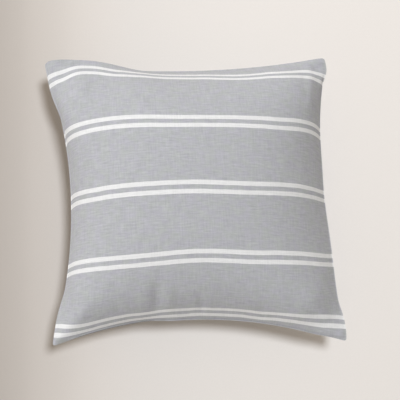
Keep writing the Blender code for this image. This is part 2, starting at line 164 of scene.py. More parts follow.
CREASES = (  # soft folds in the front panel: from (u, v) to (u, v), half width, height
    (-0.26, -0.55, -0.28, -0.96, 0.055, -0.0052),
    (-0.36, -0.62, -0.36, -0.95, 0.050, 0.0016),
    (-0.18, -0.62, -0.19, -0.95, 0.045, 0.0020),
    (0.00, -0.68, 0.03, -0.98, 0.035, -0.0036),
    (0.06, -0.72, 0.08, -0.97, 0.040, 0.0014),
    (0.40, -0.74, 0.42, -0.98, 0.045, -0.0024),
    (-0.76, 0.98, -0.70, 0.55, 0.070, 0.0035),
    (-0.89, 0.97, -0.84, 0.60, 0.060, -0.0030),
    (0.87, 0.98, 0.84, 0.50, 0.060, 0.0035),
    (-0.92, -0.94, -0.62, -0.66, 0.060, 0.0020),
    (0.95, -0.95, 0.66, -0.62, 0.060, 0.0022),
)
PULLS = (  # where the weave is dragged: middle (u, v), half widths, distance
    (-1.00, 0.88, 0.24, 0.30, 0.0115),
    (-0.68, 0.88, 0.20, 0.25, -0.0055),
    (0.45, 0.88, 0.35, 0.25, 0.0085),
    (0.00, 0.88, 0.35, 0.25, -0.0015),
    (-0.50, 0.47, 0.45, 0.30, -0.0035),
    (-0.45, -0.47, 0.45, 0.30, 0.0035),
    (0.40, -0.47, 0.38, 0.30, 0.0035),
    (0.35, 0.00, 0.40, 0.25, 0.0030),
    (0.70, 0.88, 0.16, 0.25, 0.0045),
    (-1.00, 0.02, 0.36, 0.50, -0.0055),
    (0.90, 0.45, 0.35, 0.35, -0.0070),
    (0.85, -0.45, 0.35, 0.35, 0.0040),
    (-1.05, -0.90, 0.35, 0.30, -0.0095),
    (0.80, -0.90, 0.45, 0.30, -0.0065),
    (-0.36, -0.90, 0.12, 0.20, 0.0022),
    (0.00, -0.90, 0.10, 0.20, -0.0012),
    (0.40, -0.92, 0.12, 0.20, 0.0015),
)
TIP_REACH = 0.0045  # how far in from each corner's tip the cloth is pushed to round it
TIP_PUSH = 0.8  # share of TIP_REACH that the very tip moves
TIP_OUT = 0.0025  # how far the whole corner reaches out past the plain outline
TIP_OUT_REACH = 0.030
TIP_LIP = 0.7  # share of the seam's lip, along x and along y, past a corner's tip
LAP_FROM = 0.88  # -v from which the dome is drawn out over the zip
LAP_FILLED = 0.8  # share of the lap's width that the dome covers
LAP_END = 0.985  # u where the lap has narrowed to the plain lip again
LAP_FALL = 0.24  # over which it narrows, in u
LEAN = 0.03  # how far the dome leans, per metre towards +Y
TWIST = (-0.022, 0.030, 0.034)  # slope of the weft across the panel, as 1, v and v squared
COVER_SQUARES = 120  # squares across a cover panel
INNER_SQUARES = 60  # squares across a layer inside it
RIM_STEPS = (0.004, 0.009)  # extra stations close to the rim
FOLD = (  # the rolled seam: how far out, and how high in the cloth, each ring lies
    (0.5, 1.0),
    (0.86, 0.92),
    (1.0, 0.5),
    (0.86, 0.08),
    (0.5, 0.0),
)
FOLD_SPOT = 0.001  # how far past the seam the fold lies on the flat cloth
TURNED_SPOT = 0.002  # how far past the seam the allowance starts on the flat cloth
SHARP_ANGLE = math.radians(50)


# ---- outline ----

def bell(x):
    """A smooth bump: 1 at x = 0, and 0 beyond x = -1 and 1."""
    return np.where(np.abs(x) < 1, (1 - np.square(x)) ** 2, 0.0)


def smooth(x):
    """0 below 0 and 1 above 1, with a soft step between."""
    x = np.clip(x, 0, 1)
    return x * x * (3 - 2 * x)


class Edge:
    """A hollow edge of the outline: an arc, with shallow bumps given as (place, half width, out)."""

    def __init__(self, start, end, dip, bumps=()):
        chord = end - start
        half = chord.length / 2
        self.along = np.array(chord.normalized())
        self.inward = np.array((-self.along[1], self.along[0]))
        self.radius = (half ** 2 + dip ** 2) / (2 * dip)
        self.centre = np.array((start + end) / 2) - self.inward * (self.radius - dip)
        self.half_angle = math.asin(half / self.radius)
        self.bumps = bumps

    def point(self, t, out=0.0):
        """The points at t from -1 to 1, moved outward by out."""
        t = np.asarray(t, float)
        for place, half_width, amount in self.bumps:
            out = out + amount * bell((t - place) / half_width)
        angle = (t * self.half_angle)[..., None]
        reach = (self.radius - np.asarray(out))[..., None]
        return self.centre + (self.inward * np.cos(angle) + self.along * np.sin(angle)) * reach


FAR = HALF_SIDE + SKEW
NEAR = HALF_SIDE - SKEW
BOTTOM_LEFT = Vector((-NEAR, -NEAR))
BOTTOM_RIGHT = Vector((FAR, -FAR))
TOP_RIGHT = Vector((NEAR, NEAR))
TOP_LEFT = Vector((-FAR, FAR))
LEFT_BUMPS = ((-0.78, 0.22, 0.0055), (0.80, 0.20, 0.004))
RIGHT_BUMPS = ((-0.86, 0.14, 0.003), (0.55, 0.4, -0.003), (-0.35, 0.4, 0.003), (0.9, 0.1, 0.004))
TOP_BUMPS = ((0.68, 0.42, 0.0135), (0.90, 0.14, 0.0018))
BOTTOM = Edge(BOTTOM_LEFT, BOTTOM_RIGHT, DIP_BOTTOM)
RIGHT = Edge(BOTTOM_RIGHT, TOP_RIGHT, DIP_RIGHT, RIGHT_BUMPS)
TOP = Edge(TOP_RIGHT, TOP_LEFT, DIP_TOP, TOP_BUMPS)
LEFT = Edge(TOP_LEFT, BOTTOM_LEFT, DIP_LEFT, LEFT_BUMPS)

ZIP_EDGE_LENGTH = 2 * BOTTOM.half_angle * BOTTOM.radius
ZIP_STATION = ZIP_OPENING / ZIP_EDGE_LENGTH
PLAIN_STATION = (ZIP_OPENING + 2 * ZIP_TAPER) / ZIP_EDGE_LENGTH


def plan(u, v):
    """Where the stations (u, v) lie, seen from above."""
    u = np.asarray(u, float)
    v = np.asarray(v, float)
    a, b = u[..., None], v[..., None]
    across = BOTTOM.point(u) * (1 - b) / 2 + TOP.point(-u) * (1 + b) / 2
    upright = LEFT.point(-v) * (1 - a) / 2 + RIGHT.point(v) * (1 + a) / 2
    lower = np.array(BOTTOM_LEFT) * (1 - a) / 2 + np.array(BOTTOM_RIGHT) * (1 + a) / 2
    upper = np.array(TOP_LEFT) * (1 - a) / 2 + np.array(TOP_RIGHT) * (1 + a) / 2
    return across + upright - lower * (1 - b) / 2 - upper * (1 + b) / 2


def bulge(u, v):
    """0 along the seam and 1 at the middle."""
    return np.sqrt(np.clip((1 - u * u) * (1 - v * v), 0, 1))


def zip_share(u):
    """1 along the zip's opening, falling to 0 where the seam is plain."""
    return np.clip((PLAIN_STATION - np.abs(u)) / (PLAIN_STATION - ZIP_STATION), 0, 1)


def rim_height(u, v, opens):
    """How far a panel's seam fold lies from the middle of the seam."""
    if not opens:
        return np.full(np.broadcast(u, v).shape, SEAM_HALF_GAP)
    near_zip = zip_share(u) * np.clip(-v, 0, 1) ** (2 * FOLLOW_POWER)
    return SEAM_HALF_GAP + (ZIP_HALF - SEAM_HALF_GAP) * near_zip


def on_floor(z, floor):
    """z, bent smoothly onto a floor."""
    above = z - floor
    bent = floor + (above + FLOOR_BEND) ** 2 / (4 * FLOOR_BEND)
    return np.where(above <= -FLOOR_BEND, floor, np.where(above >= FLOOR_BEND, z, bent))


def quads_of(index):
    """The quads between the neighbours in a grid of indices."""
    corners = (index[:-1, :-1], index[:-1, 1:], index[1:, 1:], index[1:, :-1])
    return np.stack(corners, -1).reshape(-1, 4)


# ---- simulated skin ----

def sim_grid():
    """Indices [side, row, column] of both panels, which share the rim's; the rim; the number of points."""
    count = SIM_CELLS + 1
    index = np.arange(2 * count * count).reshape(2, count, count)
    rim = np.zeros((count, count), bool)
    rim[0, :] = rim[-1, :] = rim[:, 0] = rim[:, -1] = True
    index[1][rim] = index[0][rim]
    used, index = np.unique(index, return_inverse=True)
    index = index.reshape(2, count, count)
    return index, rim, len(used)


def lifted(u, v, rise):
    """The stations in their places in the outline, at the height rise."""
    return np.concatenate((plan(u, v), rise[..., None]), -1)


def sim_object(start, drawn, faces, seam_points):
    """The closed cover, ready to run: its seam is drawn in from start to drawn while it is blown up."""
    mesh = bpy.data.meshes.new("sim_cover")
    mesh.from_pydata(start.tolist(), [], faces)
    item = bpy.data.objects.new("sim_cover", mesh)
    bpy.context.scene.collection.objects.link(item)
    item.shape_key_add(name="Basis")
    key = item.shape_key_add(name="drawn")
    key.data.foreach_set("co", drawn.ravel())
    key.value = 0
    key.keyframe_insert("value", frame=1)
    key.value = 1
    key.keyframe_insert("value", frame=1 + DRAW_FRAMES)
    seam = item.vertex_groups.new(name="seam")
    seam.add(seam_points, 1, "REPLACE")
    cloth = item.modifiers.new("cloth", "CLOTH")
    for setting, value in SIM_SETTINGS.items():
        setattr(cloth.settings, setting, value)
    cloth.settings.effector_weights.gravity = 0
    cloth.collision_settings.use_collision = False
    cloth.point_cache.frame_start = 1
    cloth.point_cache.frame_end = SIM_FRAMES
    return item


def inflate():
    """Blow the cover up. Gives [side, row, column] points, front panel first, seam at z = 0."""
    stations = np.linspace(-1, 1, SIM_CELLS + 1)
    u, v = np.meshgrid(stations, stations)
    index, rim, total = sim_grid()
    start = np.zeros((total, 3))
    drawn = np.zeros((total, 3))
    faces = []
    for side, sign in ((0, 1), (1, -1)):
        rise = sign * START_RISE * bulge(u, v)
        start[index[side]] = np.stack((u * CUT / 2, v * CUT / 2, rise), -1)
        drawn[index[side]] = lifted(u, v, rise)
        quads = quads_of(index[side])
        faces += (quads if side == 0 else quads[:, ::-1]).tolist()
    item = sim_object(start, drawn, faces, index[0][rim].tolist())
    for step in range(1, SIM_FRAMES + 1):
        bpy.context.scene.frame_set(step)
    blown = item.evaluated_get(bpy.context.evaluated_depsgraph_get())
    points = np.empty(total * 3, np.float32)
    blown.data.vertices.foreach_get("co", points)
    bpy.context.scene.frame_set(1)
    mesh = item.data
    bpy.data.objects.remove(item)
    bpy.data.meshes.remove(mesh)
    return points.reshape(-1, 3).astype(float)[index]


def cubic_weights(stations, cells):
    """Rows of Catmull-Rom weights that read cells + 1 even samples from -1 to 1 at the stations."""
    x = (np.asarray(stations, float) + 1) / 2 * cells
    first = np.clip(np.floor(x).astype(int), 0, cells - 1)
    f = (x - first)[:, None]
    taps = np.concatenate((
        ((2 - f) * f - 1) * f / 2,
        ((3 * f - 5) * f * f + 2) / 2,
        ((4 - 3 * f) * f + 1) * f / 2,
        (f - 1) * f * f / 2,
    ), 1)
    weights = np.zeros((len(x), cells + 3))
    for k in range(4):
        weights[np.arange(len(x)), first + k] += taps[:, k]
    weights[:, 1] += 2 * weights[:, 0]
    weights[:, 2] -= weights[:, 0]
    weights[:, -2] += 2 * weights[:, -1]
    weights[:, -3] -= weights[:, -1]
    return weights[:, 1:-1]


def resample(grid, columns, rows):
    """A grid of points read at other stations."""
    cells = grid.shape[0] - 1
    across = np.einsum("cx,yxk->yck", cubic_weights(columns, cells), grid)
    return np.einsum("ry,yck->rck", cubic_weights(rows, cells), across)


SKIN = inflate()
SKIN_TOP = np.abs(SKIN[..., 2]).max()


def ear_slack(u, v):
    """How much of its height the cover loses in its thinly filled corners."""
    far = smooth((np.abs(u) + np.abs(v) - EAR_START) / (EAR_END - EAR_START))
    slack = np.zeros_like(far)
    for (sx, sy), amount in EARS.items():
        slack = np.where((u * sx > 0) & (v * sy > 0), amount * far, slack)
    return slack


def crease_height(u, v):
    """How far the soft folds lift or sink the front panel."""
    height = np.zeros_like(u)
    for u0, v0, u1, v1, half_width, amount in CREASES:
        du, dv = u1 - u0, v1 - v0
        along = ((u - u0) * du + (v - v0) * dv) / (du * du + dv * dv)
        off = np.hypot(u - u0 - along * du, v - v0 - along * dv)
        height = height + amount * bell(off / half_width) * bell(2 * along - 1)
    return height


def layer(side, columns, rows, inset, depth, rim):
    """A layer's points: depth below the skin, inset from its rim, and as high there as rim(u, v) says."""
    u, v = np.meshgrid(columns, rows)
    skin = resample(SKIN[0 if side > 0 else 1], columns, rows)
    near_rim = (1 - bulge(u, v)) ** FOLLOW_POWER
    nearness = np.maximum(np.abs(u), np.abs(v)) ** FOLLOW_POWER
    flat = skin[..., :2] * (1 - nearness * inset / HALF_SIDE)[..., None]
    share = np.clip(skin[..., 2] * side / SKIN_TOP, 0, 1) * (1 - ear_slack(u, v))
    full = (FRONT_TOP if side > 0 else BACK_DROP) * (1 - (1 - share) ** BOXINESS)
    if side > 0:
        full = full + LEAN * skin[..., 1] * share
    stand = full - depth * (1 - near_rim) + rim(u, v) * near_rim
    if side > 0:
        stand = stand + crease_height(u, v)
    z = SEAM_HEIGHT + side * stand
    if side < 0:
        z = on_floor(z, depth)
    return np.concatenate((flat, z[..., None]), -1)


# ---- meshes ----

def cloth_place(u, v):
    """Places on the flat cloth of the stations (u, v): the cloth has twisted a little inside its outline."""
    x, y = u * CUT / 2, v * CUT / 2
    slope = TWIST[0] + TWIST[1] * v + TWIST[2] * v * v
    y = y + slope * x
    for place_u, place_v, half_u, half_v, amount in PULLS:
        y = y + amount * bell((u - place_u) / half_u) * bell((v - place_v) / half_v)
    return np.stack((x, y), -1)


class Sheet:
    """Collects points, each with its place on the flat cloth, and faces."""

    def __init__(self):
        self.points = []
        self.flats = []
        self.faces = []
        self.caps = []
        self.count = 0

    def add(self, points, flats):
        """Add points of any array shape and give their indices in that shape."""
        points = np.asarray(points, float)
        shape = points.shape[:-1]
        self.points.append(points.reshape(-1, 3))
        self.flats.append(np.asarray(flats, float).reshape(-1, 2))
        index = np.arange(self.count, self.count + math.prod(shape)).reshape(shape)
        self.count += math.prod(shape)
        return index

    def grid(self, index):
        """Quads over a grid of indices."""
        self.faces.append(quads_of(index))

    def band(self, first, second):
        """Quads between two closed rings of as many indices."""
        first = np.append(first, first[0])
        second = np.append(second, second[0])
        self.faces.append(np.stack((first[:-1], first[1:], second[1:], second[:-1]), -1))

    def bands(self, rings):
        """Quads between each ring and the next."""
        for first, second in zip(rings, rings[1:]):
            self.band(first, second)

    def cap(self, ring):
        """One face over a ring of indices."""
        self.caps.append([int(k) for k in ring])

    def piece(self, name, node, look, body="pillow", blunt=False, place=None):
        """Make the piece that stands for a CAD node. blunt rounds it at the pillow's four tips."""
        points = np.concatenate(self.points)
        if blunt:
            points = round_tips(points)
        mesh = bpy.data.meshes.new(name)
        mesh.from_pydata(points.tolist(), [], np.concatenate(self.faces).tolist() + self.caps)
        flats = np.concatenate(self.flats)
        padded = np.concatenate((flats, np.zeros((len(flats), 1))), 1)
        spot = mesh.attributes.new("flat", "FLOAT_VECTOR", "POINT")
        spot.data.foreach_set("vector", padded.astype(np.float32).ravel())
        bm = bmesh.new()
        bm.from_mesh(mesh)
        bmesh.ops.recalc_face_normals(bm, faces=bm.faces)
        bm.to_mesh(mesh)
        bm.free()
        mesh.shade_smooth()
        mesh.set_sharp_from_angle(angle=SHARP_ANGLE)
        if place is not None:
            mesh.transform(place)
        mesh.materials.append(LOOKS[look])
        item = bpy.data.objects.new(name, mesh)
        bpy.context.scene.collection.objects.link(item)
        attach(item, body)
        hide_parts(node)
        return item


def rim_of(height, width):
    """Rows and columns of a grid's outer points, counter-clockwise from the first."""
    right = width - 1
    top = height - 1
    across = np.arange(right)
    up = np.arange(top)
    rows = np.concatenate((np.zeros(right, int), up, np.full(right, top), top - up))
    columns = np.concatenate((across, np.full(top, right), right - across, np.zeros(top, int)))
    return rows, columns


def outside(u, v, out):
    """Points of the outline at the rim stations, moved outward by out."""
    out = np.broadcast_to(out, u.shape)
    flat = LEFT.point(-v, out)
    flat = np.where((v == 1)[:, None], TOP.point(-u, out), flat)
    flat = np.where((u == 1)[:, None], RIGHT.point(v, out), flat)
    flat = np.where((v == -1)[:, None], BOTTOM.point(u, out), flat)
    corner = (np.abs(u) == 1) & (np.abs(v) == 1)
    tips = plan(u, v) + np.stack((u, v), -1) * out[:, None] * TIP_LIP
    return np.where(corner[:, None], tips, flat)


def lap_width(u, v, laps):
    """How far a panel stands out past its seam fold: the lap over the zip, or the plain lip."""
    if not laps:
        return np.full(u.shape, SEAM_LIP)
    grown = smooth((u * ZIP_EDGE_LENGTH / 2 - LAP_START) / LAP_GROW)
    ended = smooth((LAP_END - u) / LAP_FALL)
    return SEAM_LIP + (LAP - SEAM_LIP) * grown * ended * (v == -1)


def over_zip(points, u, v):
    """The front panel's points, drawn out over the zip so that the dome runs down to the lap's edge."""
    share = smooth((-v - LAP_FROM) / (1 - LAP_FROM))
    width = lap_width(u, np.full(u.shape, -1.0), True) * share * LAP_FILLED
    out = BOTTOM.point(u, 1.0) - BOTTOM.point(u, 0.0)
    moved = points.copy()
    moved[..., :2] += out * width[..., None]
    return moved


def round_tips(points):
    """Push the cloth in at the four tips, which no real corner keeps sharp."""
    for corner in (BOTTOM_LEFT, BOTTOM_RIGHT, TOP_RIGHT, TOP_LEFT):
        tip = np.array(corner)
        inward = -tip / np.linalg.norm(tip)
        depth = (points[:, :2] - tip) @ inward
        depth = np.maximum(depth, -SEAM_LIP * 2)
        push = TIP_PUSH * TIP_REACH * np.exp(-depth / TIP_REACH) - TIP_OUT * np.exp(-depth / TIP_OUT_REACH)
        points[:, :2] += inward * push[:, None]
    return points


def panel(name, node, side, look, cloth, inset, depth, allowance, cells, opens=False, laps=False):
    """One panel, side 1 in front or -1 behind: a domed skin, its rolled seam and its turned-in allowance.

    opens is for the panels that the zip joins, and laps for the one that stands out over it.
    """
    sheet = Sheet()
    even = np.linspace(-1, 1, cells + 1)
    near = 1 - np.array(RIM_STEPS)
    stations = np.unique(np.concatenate((even, near, -near)))

    def rim(u, v):
        return rim_height(u, v, opens) + cloth

    u, v = np.meshgrid(stations, stations)
    flat = cloth_place(u, v)
    outer_points = layer(side, stations, stations, inset, depth, rim)
    inner_points = layer(side, stations, stations, inset + WALL_INSET, depth + cloth, rim)
    if laps:
        outer_points = over_zip(outer_points, u, v)
        inner_points = over_zip(inner_points, u, v)
    outer = sheet.add(outer_points, flat)
    inner = sheet.add(inner_points, flat)
    sheet.grid(outer)
    sheet.grid(inner)
    rows, columns = rim_of(len(stations), len(stations))
    u = stations[columns]
    v = stations[rows]
    fold = rim_height(u, v, opens)
    spot = cloth_place(u, v)
    away = np.stack((np.where(np.abs(u) == 1, u, 0), np.where(np.abs(v) == 1, v, 0)), -1)

    def ring(places, past_seam, level):
        heights = SEAM_HEIGHT + side * (fold + level)
        return sheet.add(np.concatenate((places, heights[:, None]), 1), spot + away * past_seam)

    def lip(share, level):
        if inset > 0:
            out = SEAM_LIP * share
            return ring(plan(u, v) * (1 - (inset - out) / HALF_SIDE), out, level)
        if laps:
            share = np.where(v == -1, LAP_FILLED + (1 - LAP_FILLED) * share, share)
        return ring(outside(u, v, lap_width(u, v, laps) * share), FOLD_SPOT, level)

    def turned(share, level):
        zip_side = opens & (v == -1) & (zip_share(u) == 1)
        scaled = plan(u, v) * (1 - (inset + allowance * share) / HALF_SIDE)
        straight = BOTTOM.point(u, -allowance * share)
        places = np.where(zip_side[:, None], straight, scaled)
        return ring(places, TURNED_SPOT + allowance * share, level)

    rings = [outer[rows, columns]]
    rings += [lip(share, cloth * level) for share, level in FOLD]
    rings += [turned(share, level) for share, level in ((0.0, 0), (0.5, 0), (1.0, 0), (1.0, cloth))]
    rings.append(inner[rows, columns])
    sheet.bands(rings)
    return sheet.piece(name, node, look, blunt=True)


# ---- materials ----

def srgb(*levels):
    """A colour given in sRGB steps from 0 to 255, as linear values."""
    shares = [level / 255 for level in levels]
    return tuple(s / 12.92 if s <= 0.04045 else ((s + 0.055) / 1.055) ** 2.4 for s in shares)


class Look:
    """A material and its node tree, with short ways to add to it."""

    def __init__(self, name, roughness=0.9, metallic=0.0, sheen=0.0):
        self.material = bpy.data.materials.new(name)
        self.material.use_nodes = True
        self.tree = self.material.node_tree
        self.shader = self.tree.nodes["Principled BSDF"]
        self.shader.inputs["Roughness"].default_value = roughness
        self.shader.inputs["Metallic"].default_value = metallic
        self.shader.inputs["Sheen Weight"].default_value = sheen
        self.shader.inputs["Sheen Roughness"].default_value = 0.5

    def put(self, socket, value):
        """Link a socket to a socket, or set it to a number, a vector or a colour."""
        if isinstance(value, bpy.types.NodeSocket):
            self.tree.links.new(value, socket)
        elif isinstance(value, tuple) and socket.type == "RGBA":
            socket.default_value = (*value, 1)
        else:
            socket.default_value = value

    def math(self, operation, a, b=0.0, c=0.0):
        node = self.tree.nodes.new("ShaderNodeMath")
        node.operation = operation
        for socket, value in zip(node.inputs, (a, b, c)):
            self.put(socket, value)
        return node.outputs[0]

    def attribute(self, name):
        node = self.tree.nodes.new("ShaderNodeAttribute")
        node.attribute_name = name
        return node.outputs["Vector"]

    def place(self):
        return self.tree.nodes.new("ShaderNodeTexCoord").outputs["Object"]

    def split(self, vector):
        node = self.tree.nodes.new("ShaderNodeSeparateXYZ")
        self.put(node.inputs[0], vector)
        return node.outputs[0], node.outputs[1], node.outputs[2]

    def scaled(self, vector, scale):
        node = self.tree.nodes.new("ShaderNodeVectorMath")
        node.operation = "MULTIPLY"
        self.put(node.inputs[0], vector)
        self.put(node.inputs[1], scale)
        return node.outputs[0]

    def noise(self, place, cells, detail=2.0, rough=0.5):
        """Noise whose cells a metre are given for each direction."""
        node = self.tree.nodes.new("ShaderNodeTexNoise")
        self.put(node.inputs["Vector"], self.scaled(place, cells))
        node.inputs["Scale"].default_value = 1.0
        node.inputs["Detail"].default_value = detail
        node.inputs["Roughness"].default_value = rough
        return node.outputs["Fac"]

    def spread(self, value, low, high, out_low=0.0, out_high=1.0):
        """value, read from low to high and given out from out_low to out_high."""
        node = self.tree.nodes.new("ShaderNodeMapRange")
        for socket, number in zip(node.inputs, (value, low, high, out_low, out_high)):
            self.put(socket, number)
        return node.outputs[0]

    def mix(self, share, a, b):
        """Colour a where share is 0, and b where it is 1."""
        node = self.tree.nodes.new("ShaderNodeMix")
        node.data_type = "RGBA"
        self.put(node.inputs[0], share)
        self.put(node.inputs[6], a)
        self.put(node.inputs[7], b)
        return node.outputs[2]

    def shade(self, share, tones):
        """A colour between two tones, each given in sRGB steps."""
        return self.mix(share, srgb(*tones[0]), srgb(*tones[1]))

    def colour(self, value):
        self.put(self.shader.inputs["Base Color"], value)

    def rough(self, value):
        self.put(self.shader.inputs["Roughness"], value)

    def bump(self, height, distance, strength):
        """Add a bump on top of those already there."""
        node = self.tree.nodes.new("ShaderNodeBump")
        node.inputs["Strength"].default_value = strength
        node.inputs["Distance"].default_value = distance
        self.put(node.inputs["Height"], height)
        normal = self.shader.inputs["Normal"]
        if normal.is_linked:
            self.put(node.inputs["Normal"], normal.links[0].from_socket)
        self.put(normal, node.outputs[0])


def weave(look, x, y, pitch):
    """Height of a plain weave whose yarns are pitch apart, from 0 to 1."""
    column = look.math("DIVIDE", x, pitch)
    row = look.math("DIVIDE", y, pitch)
    warp = look.math("ABSOLUTE", look.math("SINE", look.math("MULTIPLY", column, math.pi)))
    weft = look.math("ABSOLUTE", look.math("SINE", look.math("MULTIPLY", row, math.pi)))
    cell = look.math("ADD", look.math("FLOOR", column), look.math("FLOOR", row))
    odd = look.math("FLOORED_MODULO", cell, 2.0)
    even = look.math("SUBTRACT", 1.0, odd)
    over = look.math("MULTIPLY", warp, look.math("MULTIPLY_ADD", odd, 0.5, 0.5))
    across = look.math("MULTIPLY", weft, look.math("MULTIPLY_ADD", even, 0.5, 0.5))
    return look.math("MAXIMUM", over, across)


STRIPE_REPEAT = 0.1155  # from one pair of stripes to the next
STRIPE_WIDTH = 0.0077
STRIPE_OFFSET = 0.0077  # from the middle of a pair to each stripe's middle
STRIPE_SHIFT = -0.006  # where the middle pair lies
STRIPE_EDGE = 0.0002  # half of the width over which a stripe's edge fades
STRIPE_FRAY = 0.0006  # how much its edge wavers
YARN_DRIFT = 0.0012  # how much the yarns wander
YARN_PITCH = 0.0009
YARN_HEIGHT = 0.00018
SLUB_HEIGHT = 0.0004
WANDER_CELLS = (35.0, 35.0, 1.0)  # cells a metre: along the weft, along the warp, and across both
WEFT_CELLS = (50.0, 400.0, 1.0)  # long thin slubs of the weft yarns
WARP_CELLS = (420.0, 36.0, 1.0)  # and of the warp yarns
FIBRE_CELLS = (420.0, 2600.0, 1.0)  # fine streaks along the weft
PATCH_CELLS = (55.0, 75.0, 1.0)  # patches of the two greys, lilac and sage
SLUB_SHARES = (0.55, 0.33, 0.12)  # of the weft, the warp and the fine noise in the cloth's tone
MIDDLE_TONES = (0.38, 0.62)  # the part of a noise that most of the cloth lies in
LILAC = ((172, 170, 175), (197, 195, 200))  # darkest and palest tone, in sRGB steps
SAGE = ((172, 173, 171), (196, 197, 194))
WHITE = ((230, 228, 225), (246, 244, 241))
STREAK_CELLS = (300.0, 1500.0, 1.0)
GRAIN_CELLS = (900.0, 900.0, 3500.0)
WEAR_CELLS = (260.0, 260.0, 260.0)


def cover_look():
    """Slubby cloth of faintly lilac and greenish greys, with pairs of white stripes along its weft."""
    look = Look("cover_cloth", roughness=0.9, sheen=0.12)
    spot = look.attribute("flat")
    wander = look.noise(spot, WANDER_CELLS, detail=1.0)
    drift = look.math("MULTIPLY_ADD", wander, YARN_DRIFT, -YARN_DRIFT / 2)
    x, y, _ = look.split(spot)
    x = look.math("ADD", x, drift)
    y = look.math("ADD", y, look.math("MULTIPLY", drift, 0.6))
    weft = look.noise(spot, WEFT_CELLS, detail=4.0, rough=0.7)
    warp = look.noise(spot, WARP_CELLS, detail=4.0, rough=0.7)
    fine = look.noise(spot, FIBRE_CELLS, detail=2.0, rough=0.6)
    tone = look.math("MULTIPLY_ADD", weft, SLUB_SHARES[0], look.math("MULTIPLY", warp, SLUB_SHARES[1]))
    tone = look.math("MULTIPLY_ADD", fine, SLUB_SHARES[2], tone)
    share = look.spread(tone, *MIDDLE_TONES)
    patch = look.noise(spot, PATCH_CELLS, detail=3.0, rough=0.6)
    grey = look.mix(look.spread(patch, *MIDDLE_TONES), look.shade(share, LILAC), look.shade(share, SAGE))
    shifted = look.math("SUBTRACT", y, STRIPE_SHIFT)
    from_pair = look.math("PINGPONG", shifted, STRIPE_REPEAT / 2)
    from_stripe = look.math("ABSOLUTE", look.math("SUBTRACT", from_pair, STRIPE_OFFSET))
    edge = look.math("ADD", from_stripe, look.math("MULTIPLY_ADD", fine, STRIPE_FRAY, -STRIPE_FRAY / 2))
    stripe = look.spread(edge, STRIPE_WIDTH / 2 + STRIPE_EDGE, STRIPE_WIDTH / 2 - STRIPE_EDGE)
    look.colour(look.mix(stripe, grey, look.shade(share, WHITE)))
    look.rough(look.spread(tone, 0.5, 1.0, 0.95, 0.82))
    look.bump(tone, SLUB_HEIGHT, 0.35)
    look.bump(weave(look, x, y, YARN_PITCH), YARN_HEIGHT, 0.6)
    return look.material


def plain_cloth_look(name, tones, pitch, roughness=0.9):
    """Plain woven cloth of one tone, a little streaky."""
    look = Look(name, roughness=roughness, sheen=0.1)
    spot = look.attribute("flat")
    x, y, _ = look.split(spot)
    streak = look.noise(spot, STREAK_CELLS)
    look.colour(look.shade(look.spread(streak, 0.3, 0.7), tones))
    look.rough(look.spread(streak, 0.3, 0.7, roughness, roughness - 0.1))
    look.bump(weave(look, x, y, pitch), pitch / 4, 0.5)
    return look.material


def mottled_look(name, tones, span, cells, bump, detail=2.0, rough=0.5, gloss=None, **base):
    """One noise for tone, for bump (distance, strength) and for gloss, the roughness at span's ends."""
    look = Look(name, **base)
    mottle = look.noise(look.place(), (cells, cells, cells), detail, rough)
    look.colour(look.shade(look.spread(mottle, *span), tones))
    if gloss:
        look.rough(look.spread(mottle, *span, *gloss))
    look.bump(mottle, *bump)
    return look.material


def thread_look(name, tones):
    """Twisted sewing thread."""
    return mottled_look(name, tones, (0.35, 0.65), 2500.0, (0.0001, 0.6), roughness=0.75, sheen=0.2)


def metal_look():
    """Brushed grey metal, duller where it is worn."""
    look = Look("zip_metal", roughness=0.34, metallic=1.0)
    place = look.place()
    grain = look.noise(place, GRAIN_CELLS, detail=3.0)
    wear = look.noise(place, WEAR_CELLS)
    look.colour(look.shade(look.spread(wear, 0.35, 0.7), ((186, 186, 188), (158, 158, 161))))
    look.rough(look.spread(grain, 0.3, 0.7, 0.28, 0.42))
    look.bump(grain, 0.00003, 0.3)
    return look.material


LOOKS = {
    "cover_cloth": cover_look(),
    "insert_casing": plain_cloth_look("insert_casing", ((232, 230, 225), (246, 244, 240)), 0.0006),
    "blank_label": plain_cloth_look("blank_label", ((238, 237, 232), (248, 247, 244)), 0.0003, 0.55),
    "zip_tape": plain_cloth_look("zip_tape", ((160, 160, 163), (176, 176, 179)), 0.0005, 0.85),
    "sewing_thread": thread_look("sewing_thread", ((160, 160, 163), (184, 184, 187))),
    "insert_thread": thread_look("insert_thread", ((226, 225, 220), (242, 241, 237))),
    "zip_metal": metal_look(),
    "zip_coil": mottled_look("zip_coil", ((148, 148, 151), (172, 172, 175)), (0.3, 0.7), 700.0,
                             (0.00004, 0.3), gloss=(0.36, 0.5), roughness=0.42),
    "fibre_fill": mottled_look("fibre_fill", ((228, 227, 222), (246, 245, 241)), (0.3, 0.7), 60.0,
                               (0.004, 0.7), detail=5.0, rough=0.7, roughness=1.0, sheen=0.3),
}

# ---- soft pieces ----

COVER = {
    "look": "cover_cloth",
    "cloth": COVER_CLOTH,
    "inset": 0,
    "depth": 0,
    "allowance": COVER_ALLOWANCE,
    "cells": COVER_SQUARES,
    "opens": True,
}
CASING = {
    "look": "insert_casing",
    "cloth": CASING_CLOTH,
    "inset": INSERT_INSET,
    "depth": CASING_DEPTH,
    "allowance": CASING_ALLOWANCE,
    "cells": INNER_SQUARES,
}

front = panel("cover_front", "cover_front_panel", 1, laps=True, **COVER)
back = panel("cover_back", "cover_back_panel", -1, **COVER)
casing_front = panel("casing_front", "insert_front_casing", 1, **CASING)
casing_back = panel("casing_back", "insert_back_casing", -1, **CASING)


